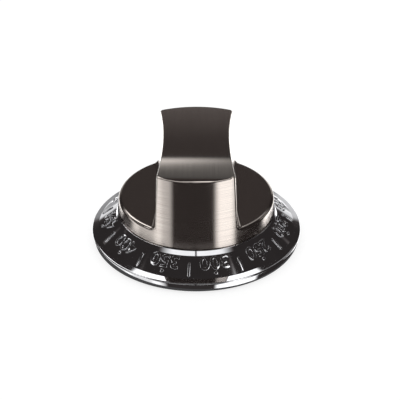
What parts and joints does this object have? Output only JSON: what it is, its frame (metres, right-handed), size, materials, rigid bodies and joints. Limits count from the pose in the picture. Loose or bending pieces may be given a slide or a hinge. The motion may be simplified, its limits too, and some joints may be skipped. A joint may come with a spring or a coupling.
{
  "type": "oven control knob",
  "caption": "Oven control knob: round cast body with a waisted grip bar on a polished dial skirt with a low rim, pushed onto a flatted control shaft.",
  "frame": {"origin": "on the shaft axis, in the plane that the skirt's rim rests on", "axes": "+Z out of the oven panel along the shaft towards the grip, Y along the grip bar, X across it"},
  "size_m": [0.07, 0.07, 0.036],
  "materials": {
    "brushed_nickel": "satin",
    "polished_chrome": "polished",
    "spring_steel": "satin",
    "zinc_plated_steel": "satin"
  },
  "bodies": {
    "root": {"knob_body": "brushed_nickel", "dial_skirt": "polished_chrome", "shaft_spring": "spring_steel", "skirt_screws": "zinc_plated_steel"}
  },
  "joints": []
}
